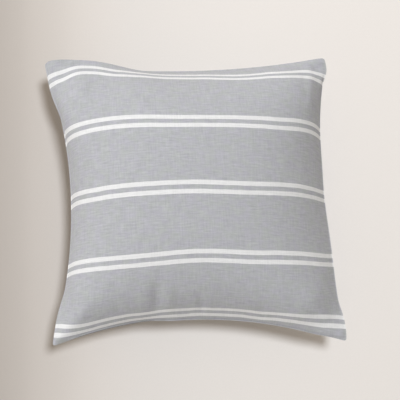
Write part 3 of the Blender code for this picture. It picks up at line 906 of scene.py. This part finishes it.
def fill_piece():
    """The fibre fill: one solid dome each way, meeting at a blunt rim."""
    sheet = Sheet()
    stations = np.linspace(-1, 1, INNER_SQUARES + 1)
    u, v = np.meshgrid(stations, stations)
    flat = np.stack((u, v), -1) * CUT / 2

    def rim(u, v):
        return np.full(u.shape, FILL_RIM)

    upper = sheet.add(layer(1, stations, stations, FILL_INSET, FILL_DEPTH, rim), flat)
    lower = sheet.add(layer(-1, stations, stations, FILL_INSET, FILL_DEPTH, rim), flat)
    sheet.grid(upper)
    sheet.grid(lower)
    rows, columns = rim_of(len(stations), len(stations))
    sheet.band(upper[rows, columns], lower[rows, columns])
    item = sheet.piece("fill", "insert_fill", "fibre_fill", blunt=True)


fill_piece()

# ---- labels ----

LABEL_ROWS = 11
LABEL_COLUMNS = 7


def label(name, node, reach, inset, depth, level):
    """A blank woven label, flat against a front panel, close to its left or right seam."""
    sheet = Sheet()
    across = np.linspace(*reach, LABEL_COLUMNS)
    along = np.linspace(0, ZIP_STATION / 6, LABEL_ROWS)
    u, v = np.meshgrid(across, along)
    flat = np.stack((u, v), -1) * CUT / 2

    def rim(u, v):
        return np.full(u.shape, level)

    rows, columns = rim_of(LABEL_ROWS, LABEL_COLUMNS)
    edges = []
    for down in (0, LABEL_CLOTH):
        face = sheet.add(layer(1, across, along, inset + down, depth + down / 2, rim), flat)
        sheet.grid(face)
        edges.append(face[rows, columns])
    sheet.bands(edges)
    sheet.piece(name, node, "blank_label", blunt=True)


label("care_label", "cover_care_label", (-PLAIN_STATION, -ZIP_STATION), WALL_INSET + LABEL_OFF,
      COVER_CLOTH + LABEL_OFF / 2, SEAM_HALF_GAP + COVER_CLOTH)
label("casing_label", "insert_label", (ZIP_STATION, PLAIN_STATION), INSERT_INSET - LABEL_OFF - LABEL_CLOTH,
      CASING_DEPTH - LABEL_OFF / 2 - LABEL_CLOTH / 2, SEAM_HALF_GAP + CASING_CLOTH)

# ---- zip ----

COIL_PITCH = 0.0014  # from one turn of the coil to the next
COIL_STEPS = 8  # points in a turn
COIL_SIDES = 5  # of the filament
COIL_WIRE = 0.00029  # half the filament's thickness
TAPE_STEPS = 110  # along a tape
STITCH_PITCH = 0.0030
STITCH_HALF = 0.42  # half a stitch's length, as a share of the pitch
STITCH_PLUMP = (0.55, 0.85, 1.0, 0.85, 0.55)  # its thickness, from end to end
STITCH_SIDES = 6
SEAM_STEPS = 90  # along each side of a seam
STOP_CORNER = 0.0005
QUARTER_STEPS = 3  # in a rounded corner
FRONT_STITCH_OUT = 3 * THREAD
BACK_STITCH_OUT = 1.75 * THREAD
TACK_STRANDS = 4


def zip_points(x, out, z):
    """Points x along the bottom edge, out past it and z above the zip's middle line."""
    x, out, z = np.broadcast_arrays(x, out, z)
    flat = BOTTOM.point(x / (ZIP_EDGE_LENGTH / 2), out)
    return np.concatenate((flat, (SEAM_HEIGHT + z)[..., None]), -1)


def sweep(name, node, profile, start, end, segments, look):
    """A closed profile of (out, z) points swept along the bottom edge."""
    sheet = Sheet()
    out, z = np.array(profile).T
    length = np.cumsum(np.hypot(np.diff(out, append=out[0]), np.diff(z, append=z[0])))
    rings = []
    for x in np.linspace(start, end, segments + 1):
        rings.append(sheet.add(zip_points(x, out, z), np.stack((np.full(len(out), x), length), -1)))
    sheet.bands(rings)
    sheet.cap(rings[0])
    sheet.cap(rings[-1][::-1])
    sheet.piece(name, node, look)


def unit(vectors):
    """The vectors, each made 1 long."""
    return vectors / np.linalg.norm(vectors, axis=1, keepdims=True)


def tube(sheet, path, radii, sides, helper=None, aside=1.0):
    """A round tube along a path, with one radius a point; aside widens it along the helper direction."""
    tangent = unit(np.gradient(path, axis=0))
    if helper is None:
        lead = path[-1] - path[0]
        upright = abs(lead[2]) >= 0.5 * np.linalg.norm(lead)
        helper = np.array((1.0, 0, 0) if upright else (0, 0, 1.0))
    first = unit(helper - tangent * np.sum(tangent * helper, 1, keepdims=True))
    second = np.cross(tangent, first)
    turn = np.arange(sides) * 2 * math.pi / sides
    ring = first[:, None] * (aside * np.cos(turn))[:, None] + second[:, None] * np.sin(turn)[:, None]
    far = np.cumsum(np.linalg.norm(np.diff(path, axis=0, prepend=path[:1]), axis=1))
    flats = np.stack(np.broadcast_arrays(far[:, None], (turn * radii[0])[None]), -1)
    index = sheet.add(path[:, None] + ring * radii[:, None, None], flats)
    sheet.grid(np.concatenate((index, index[:, :1]), 1))
    sheet.cap(index[0][::-1])
    sheet.cap(index[-1])


def coil(name, node, side):
    """One coil of the zip: a fine filament wound round and round beside the tape's edge."""
    sheet = Sheet()
    turns = round(2 * COIL_HALF_LENGTH / COIL_PITCH)
    angle = np.linspace(0, 2 * math.pi * turns, turns * COIL_STEPS + 1)
    x = np.linspace(-COIL_HALF_LENGTH + COIL_WIRE, COIL_HALF_LENGTH - COIL_WIRE, len(angle))
    out = COIL_FACE + COIL_THICK / 2 + (COIL_THICK / 2 - COIL_WIRE) * np.cos(angle)
    z = COIL_PART + COIL_WIDTH / 2 + (COIL_WIDTH / 2 - COIL_WIRE) * np.sin(angle)
    along = unit(np.gradient(zip_points(x, 0, 0), axis=0))
    tube(sheet, zip_points(x, out, side * z), np.full(len(x), COIL_WIRE), COIL_SIDES, helper=along)
    sheet.piece(name, node, "zip_coil")


def stitches(name, node, path, look):
    """Separate stitches along a path of points, each a short plump thread that thins at its ends."""
    sheet = Sheet()
    gaps = np.linalg.norm(np.diff(path, axis=0), axis=1)
    far = np.concatenate(([0], np.cumsum(gaps)))
    count = int(far[-1] / STITCH_PITCH)
    radii = np.array(STITCH_PLUMP) * THREAD / 2
    steps = np.linspace(-STITCH_HALF, STITCH_HALF, len(radii))
    for k in range(count):
        spots = (k + 0.5 + steps) * far[-1] / count
        points = np.stack([np.interp(spots, far, path[:, axis]) for axis in range(3)], -1)
        tube(sheet, points, radii, STITCH_SIDES)
    sheet.piece(name, node, look, blunt=True)


def seam_path(inset, gap):
    """The line of a seam's stitches, counter-clockwise; gap leaves out the zip's opening."""
    edge = np.linspace(-1, 1, SEAM_STEPS)
    start = PLAIN_STATION if gap else -1
    loop = [(u, -1.0) for u in edge if u > start] + [(1.0, v) for v in edge[1:]]
    loop += [(-u, 1.0) for u in edge[1:]] + [(-1.0, -v) for v in edge[1:]]
    loop += [(u, -1.0) for u in edge[1:] if gap and u < -PLAIN_STATION]
    u, v = np.array(loop).T
    flat = plan(u, v) * (1 - (inset + STITCH_INSET) / HALF_SIDE)
    return np.concatenate((flat, np.full((len(u), 1), SEAM_HEIGHT)), 1)


def rounded(out_low, out_high, z_low, z_high, radius):
    """A rounded box profile of (out, z) points."""
    points = []
    low, high = out_low + radius, out_high - radius
    under, over = z_low + radius, z_high - radius
    for quarter, (out, z) in enumerate(((high, over), (low, over), (low, under), (high, under))):
        for step in range(QUARTER_STEPS + 1):
            angle = (quarter + step / QUARTER_STEPS) * math.pi / 2
            points.append((out + radius * math.cos(angle), z + radius * math.sin(angle)))
    return points


def tape_profile():
    """A tape's section: away from the zip's middle beside the coil, then in along the panel."""
    back = TAPE_FACE - TAPE_CLOTH
    soft = TAPE_CLOTH * 0.25
    top = TAPE_FLANGE + TAPE_CLOTH
    deep = -TAPE_DEPTH
    return [
        (TAPE_FACE - soft, COIL_PART), (TAPE_FACE, COIL_PART + soft), (TAPE_FACE, top - soft),
        (TAPE_FACE - soft, top), (deep + soft, top), (deep, top - soft), (deep, TAPE_FLANGE + soft),
        (deep + soft, TAPE_FLANGE), (back, TAPE_FLANGE), (back, COIL_PART + soft), (back + soft, COIL_PART),
    ]


def zip_pieces():
    """The tapes, coils and stops, the stitching of the tapes, and the seams of the cover and the casing."""
    ends = (-TAPE_HALF_LENGTH, TAPE_HALF_LENGTH)
    level = ZIP_HALF + COVER_CLOTH + CLEARANCE + THREAD / 2
    x = np.linspace(*ends, 300)
    for half, side, out in (("front", 1, FRONT_STITCH_OUT), ("back", -1, BACK_STITCH_OUT)):
        profile = [(o, side * z) for o, z in tape_profile()]
        sweep(f"{half}_tape", f"zip_{half}_tape", profile, *ends, TAPE_STEPS, "zip_tape")
        coil(f"{half}_coil", f"zip_{half}_coil", side)
        line = zip_points(x, out, side * level)
        stitches(f"{half}_stitching", f"zip_{half}_stitching", line, "sewing_thread")
    reach = COIL_PART + COIL_WIDTH
    stop = rounded(COIL_FACE, COIL_TOP, -reach, reach, STOP_CORNER)
    near = COIL_HALF_LENGTH + CLEARANCE
    far = near + STOP_LENGTH
    sweep("top_stop", "zip_top_stop", stop, near, far, 1, "zip_metal")
    sweep("bottom_stop", "zip_bottom_stop", stop, -far, -near, 1, "zip_metal")
    stitches("cover_seam", "cover_seam_thread", seam_path(0, True), "sewing_thread")
    stitches("casing_seam", "insert_seam_thread", seam_path(INSERT_INSET, False), "insert_thread")


def tack(name, node, low):
    """A bar tack: strands of thread laid side by side across the opening."""
    sheet = Sheet()
    reach = ZIP_HALF - CLEARANCE
    width = TACK_LENGTH / TACK_STRANDS
    z = np.linspace(-reach, reach, 9)
    radii = width / 2 * (0.5 + 0.5 * bell(z / reach * 0.7))
    for k in range(TACK_STRANDS):
        strand = zip_points(low + width * (k + 0.5), CLEARANCE + TACK_WIDTH / 2, z)
        tube(sheet, strand, radii, STITCH_SIDES)
    sheet.piece(name, node, "sewing_thread")


zip_pieces()
tack_start = TAPE_HALF_LENGTH + CLEARANCE
tack("right_tack", "zip_right_tack", tack_start)
tack("left_tack", "zip_left_tack", -tack_start - TACK_LENGTH)


# ---- slider and pull ----

PLATE_BEVEL = 0.0003
SLIDER_ROUNDNESS = 0.42  # the lower, the squarer
SLIDER_TAPER = 0.12  # how much narrower the slider is over the closed coils, at its -X end
SLIDER_JOIN = 0.0002  # how far its parts run into each other
POST_HALF = SLIDER_LENGTH / 6
POST_FROM_END = 0.0004
POST_BEVEL = 0.00005
WALL_SHARE = 0.86  # of the slider's length
WALL_BEVEL = 0.0001
BAIL_STEPS = 17
BAIL_SIDES = 10
BAIL_SQUARE = 0.5  # 1 is a round arch, less is squarer
PULL_POINTS = 64  # round its outline
PULL_ROUNDNESS = 0.30
PULL_WAIST = 0.22  # how much narrower its waist is
WAIST_PLACE = 0.42  # the waist's middle and half length, as shares of the tab's length
WAIST_HALF = 0.34
WINDOW_ROUNDNESS = 0.35
PULL_BEVEL = 0.00022


def slider_place():
    """Puts points (along the zip, inward, up) on the closed slider into the model's frame."""
    angle = SLIDER_CLOSED / BOTTOM.radius
    along = BOTTOM.along * math.cos(angle) - BOTTOM.inward * math.sin(angle)
    place = zip_points(SLIDER_CLOSED, 0.0, 0.0)
    return Matrix.Translation(place) @ Matrix.Rotation(math.atan2(along[1], along[0]), 4, "Z")


def squared(values, power):
    """values from -1 to 1, drawn towards -1 and 1."""
    return np.sign(values) * np.abs(values) ** power


def outline(half_x, half_z, count=40, roundness=SLIDER_ROUNDNESS, taper=0.0):
    """A rounded rectangle's (x, z) points, narrower by taper at its -X end."""
    turn = np.arange(count) * 2 * math.pi / count
    x = half_x * squared(np.cos(turn), roundness)
    z = half_z * squared(np.sin(turn), roundness)
    return x, z * (1 - taper * (1 - x / half_x) / 2)


def plate(sheet, x, z, out_low, out_high, bevel):
    """A flat plate with softened edges, standing out past the zip from out_low to out_high."""
    middle_x = np.mean(x)
    middle_z = np.mean(z)
    size = max(np.ptp(x), np.ptp(z)) / 2
    levels = (
        (out_low, bevel), (out_low + bevel * 0.4, bevel * 0.3), (out_low + bevel, 0),
        (out_high - bevel, 0), (out_high - bevel * 0.4, bevel * 0.3), (out_high, bevel),
    )
    rings = []
    for out, inset in levels:
        share = 1 - inset / size
        px = middle_x + (x - middle_x) * share
        pz = middle_z + (z - middle_z) * share
        rings.append(sheet.add(np.stack((px, np.full(len(x), -out), pz), -1), np.stack((px, pz), -1)))
    sheet.bands(rings)
    sheet.cap(rings[0])
    sheet.cap(rings[-1][::-1])


def slider_piece():
    """Two plates on a post, side walls around the coils, and an arched bail for the pull."""
    sheet = Sheet()
    half = SLIDER_LENGTH / 2
    under = TAPE_FACE - TAPE_CLOTH - CLEARANCE
    top = PLATE_FACE + SLIDER_PLATE
    joined = PLATE_FACE + SLIDER_JOIN
    x, z = outline(half, SLIDER_HALF, taper=SLIDER_TAPER)
    plate(sheet, x, z, PLATE_FACE, top, PLATE_BEVEL)
    plate(sheet, x, z, under - SLIDER_PLATE, under, PLATE_BEVEL)
    x, z = outline(POST_HALF, COIL_PART - CLEARANCE, roundness=0.6)
    plate(sheet, x + half - POST_HALF - POST_FROM_END, z, under - SLIDER_JOIN, joined, POST_BEVEL)
    x, z = outline(half * WALL_SHARE, SLIDER_WALL / 2)
    for side in (-1, 1):
        wall_z = z + side * (SLIDER_HALF - SLIDER_WALL / 2)
        plate(sheet, x + half * 0.1, wall_z, COIL_FACE, joined, WALL_BEVEL)
    foot = top - SLIDER_JOIN
    rise = BAIL_ROOM + BAIL_THICK / 2 + SLIDER_JOIN
    span = (BAIL_SPAN - BAIL_THICK) / 2
    turn = np.linspace(0, math.pi, BAIL_STEPS)
    arch_x = -span * squared(np.cos(turn), BAIL_SQUARE)
    arch_out = foot + rise * np.abs(np.sin(turn)) ** BAIL_SQUARE
    path = np.stack((arch_x, -arch_out, np.zeros(BAIL_STEPS)), -1)
    wider = BAIL_HALF / BAIL_THICK * 2
    tube(sheet, path, np.full(BAIL_STEPS, BAIL_THICK / 2), BAIL_SIDES, aside=wider)
    sheet.piece("slider", "zip_slider", "zip_metal", body="slider", place=slider_place())


def pull_piece():
    """A flat tab with rounded ends, a slim waist and a slot at its root for the bail."""
    sheet = Sheet()
    thick = PULL_THICK / 2
    wide = PULL_WIDTH / 2
    slot = BAIL_HALF + CLEARANCE + MARGIN
    tab_middle = -(PULL_LENGTH - thick) / 2
    slot_middle = -(PULL_WINDOW + thick) / 2
    tab_x, tab_z = outline((PULL_LENGTH + thick) / 2, wide, PULL_POINTS, PULL_ROUNDNESS)
    tab_x = tab_x + tab_middle
    waist = bell((tab_x + WAIST_PLACE * PULL_LENGTH) / (WAIST_HALF * PULL_LENGTH))
    tab_z = tab_z * (1 - PULL_WAIST * waist)
    slot_x, slot_z = outline((PULL_WINDOW - thick) / 2, slot, PULL_POINTS, WINDOW_ROUNDNESS)
    slot_x = slot_x + slot_middle
    levels = ((PULL_BEVEL, thick), (0, thick - PULL_BEVEL), (0, -thick + PULL_BEVEL), (PULL_BEVEL, -thick))
    rings = []
    for inset, level in levels:
        x = tab_middle + (tab_x - tab_middle) * (1 - inset / PULL_LENGTH)
        rings.append(np.stack((x, np.full(len(x), -level), tab_z * (1 - inset / wide)), -1))
    for inset, level in levels[::-1]:
        x = slot_middle + (slot_x - slot_middle) * (1 + inset / PULL_WINDOW)
        rings.append(np.stack((x, np.full(len(x), -level), slot_z * (1 + inset / slot)), -1))
    index = [sheet.add(ring - (0, PIVOT_OUT, 0), ring[:, (0, 2)]) for ring in rings]
    sheet.bands(index + index[:1])
    sheet.piece("pull_tab", "zip_pull", "zip_metal", body="pull", place=slider_place())


slider_piece()
pull_piece()

# ---- floor, lights and camera ----

FLOOR_HALF = 12.0
FLOOR_PAINTED_SHADE = (  # (x, brightness) of the painted shade on the floor, which is painted darker towards the left
    (-1.10, 1.00),
    (-0.60, 0.72),
    (-0.38, 0.62),
    (-0.33, 0.68),
    (-0.29, 0.77),
    (-0.25, 0.83),
    (-0.19, 0.93),
    (-0.09, 1.00),
    (0.36, 1.06),
)
FLOOR_COLOUR = (0.86, 0.83, 0.80)
FLOOR_SHADE_COLOUR = (0.90, 0.83, 0.765)  # its colour where painted shade darkens it, warmer than its own
FLOOR_SHADE_SPAN = (-0.38, -0.10)  # x over which the painted shade's warmer colour gives way to the floor's own
FLOOR_SHADE_SLOPE = 0.12  # painted light and shade: how much brighter the floor is painted per metre towards +Y, darker towards -Y
FLOOR_GRAIN = (300.0, 300.0, 300.0)
WORLD_COLOUR = (1.03, 1.0, 0.95, 1)
WORLD_STRENGTH = 0.27
BACKDROP_COLOUR = (0.78, 0.75, 0.72, 1)
DAYLIGHT = (0.96, 0.99, 1.04)
FLOOR_LIGHTS = (  # name, strength, aim, angular size in degrees, colour
    ("floor_sun", 1.80, (-0.275, -0.115, -1.0), 13, (0.925, 0.965, 1.02)),
    ("floor_fill", 0.36, (0, 0, -1.0), 150, (1.0, 0.70, 0.38)),
)
PILLOW_LIGHTS = (
    ("window", 1.95, (0.5, 0, -0.866), 50, DAYLIGHT),
    ("window_above", 0.30, (0, -0.5, -0.866), 50, DAYLIGHT),
    ("window_back", 0.79, (0, -0.866, -0.5), 50, DAYLIGHT),
)
CAMERA_TILT = math.radians(9.5)
CAMERA_ROLL = math.radians(2.0)
CAMERA_DISTANCE = 1.69
CAMERA_LENS = 86.1
CAMERA_SHIFT = (0.020, 0.005)
CAMERA_AIM = Vector((0, -0.006, SEAM_HEIGHT))


def painted_shade(look, x):
    """Brightness of the floor's painted shade at x, halved to fit the curve."""
    low = FLOOR_PAINTED_SHADE[0][0]
    high = FLOOR_PAINTED_SHADE[-1][0]
    fade = look.tree.nodes.new("ShaderNodeFloatCurve")
    look.put(fade.inputs["Value"], look.spread(x, low, high))
    points = fade.mapping.curves[0].points
    points[0].location = (0, FLOOR_PAINTED_SHADE[0][1] / 2)
    points[-1].location = (1, FLOOR_PAINTED_SHADE[-1][1] / 2)
    for spot, level in FLOOR_PAINTED_SHADE[1:-1]:
        points.new((spot - low) / (high - low), level / 2)
    fade.mapping.update()
    return fade.outputs[0]


def floor_piece():
    """A pale floor with painted shade: darker and warmer towards the left, and darker towards -Y."""
    look = Look("floor", roughness=0.9)
    place = look.place()
    x, y, _ = look.split(place)
    grain = look.noise(place, FLOOR_GRAIN, detail=3.0)
    # painted shade: the floor's colour is darkened towards the left
    level = look.math("MULTIPLY", painted_shade(look, x), look.spread(grain, 0.3, 0.7, 1.98, 2.02))
    # painted shade: the floor is painted darker towards -Y and brighter towards +Y
    level = look.math("MULTIPLY", level, look.math("MULTIPLY_ADD", y, FLOOR_SHADE_SLOPE, 1.0))
    # painted shade: the darkened floor on the left is also painted warmer
    shade_tint = look.mix(look.spread(x, *FLOOR_SHADE_SPAN), FLOOR_SHADE_COLOUR, FLOOR_COLOUR)
    look.colour(look.scaled(shade_tint, level))
    corners = [(x * FLOOR_HALF, y * FLOOR_HALF, 0) for x, y in ((-1, -1), (1, -1), (1, 1), (-1, 1))]
    mesh = bpy.data.meshes.new("floor")
    mesh.from_pydata(corners, [], [(0, 1, 2, 3)])
    mesh.materials.append(look.material)
    item = bpy.data.objects.new("floor", mesh)
    bpy.context.scene.collection.objects.link(item)
    return item


def link_group(name, state, item):
    """A light-linking group that holds one object, as lit or as left out."""
    group = bpy.data.collections.new(name)
    group.objects.link(item)
    group.collection_objects[0].light_linking.link_state = state
    return group


def add_light(name, strength, aim, size, colour, lit):
    """A soft sun that lights only what the group lit allows."""
    data = bpy.data.lights.new(name, "SUN")
    data.energy = strength
    data.angle = math.radians(size)
    data.color = colour
    item = bpy.data.objects.new(name, data)
    item.rotation_euler = Vector(aim).to_track_quat("-Z", "Y").to_euler()
    bpy.context.scene.collection.objects.link(item)
    item.light_linking.receiver_collection = lit


def studio_world():
    """Plain, even light, behind which the camera sees a pale backdrop."""
    world = bpy.data.worlds.new("studio")
    world.use_nodes = True
    tree = world.node_tree
    light = tree.nodes["Background"]
    light.inputs["Color"].default_value = WORLD_COLOUR
    light.inputs["Strength"].default_value = WORLD_STRENGTH
    backdrop = tree.nodes.new("ShaderNodeBackground")
    backdrop.inputs["Color"].default_value = BACKDROP_COLOUR
    seen = tree.nodes.new("ShaderNodeLightPath")
    mix = tree.nodes.new("ShaderNodeMixShader")
    tree.links.new(seen.outputs["Is Camera Ray"], mix.inputs[0])
    tree.links.new(light.outputs[0], mix.inputs[1])
    tree.links.new(backdrop.outputs[0], mix.inputs[2])
    tree.links.new(mix.outputs[0], tree.nodes["World Output"].inputs["Surface"])
    return world


def add_camera():
    """The photograph's view: from almost straight above, turned a little."""
    data = bpy.data.cameras.new("camera")
    data.lens = CAMERA_LENS
    data.shift_x, data.shift_y = CAMERA_SHIFT
    item = bpy.data.objects.new("camera", data)
    tilt = Matrix.Rotation(CAMERA_TILT, 4, "X")
    roll = Matrix.Rotation(-CAMERA_ROLL, 4, "Z")
    back = Matrix.Translation((0, 0, CAMERA_DISTANCE))
    item.matrix_world = Matrix.Translation(CAMERA_AIM) @ tilt @ roll @ back
    bpy.context.scene.collection.objects.link(item)
    bpy.context.scene.camera = item


floor = floor_piece()
floor_lit = link_group("floor_lit", "INCLUDE", floor)
floor_unlit = link_group("floor_unlit", "EXCLUDE", floor)
for light in FLOOR_LIGHTS:
    add_light(*light, floor_lit)
for light in PILLOW_LIGHTS:
    add_light(*light, floor_unlit)
scene = bpy.context.scene
scene.world = studio_world()
scene.view_settings.view_transform = "Standard"
add_camera()
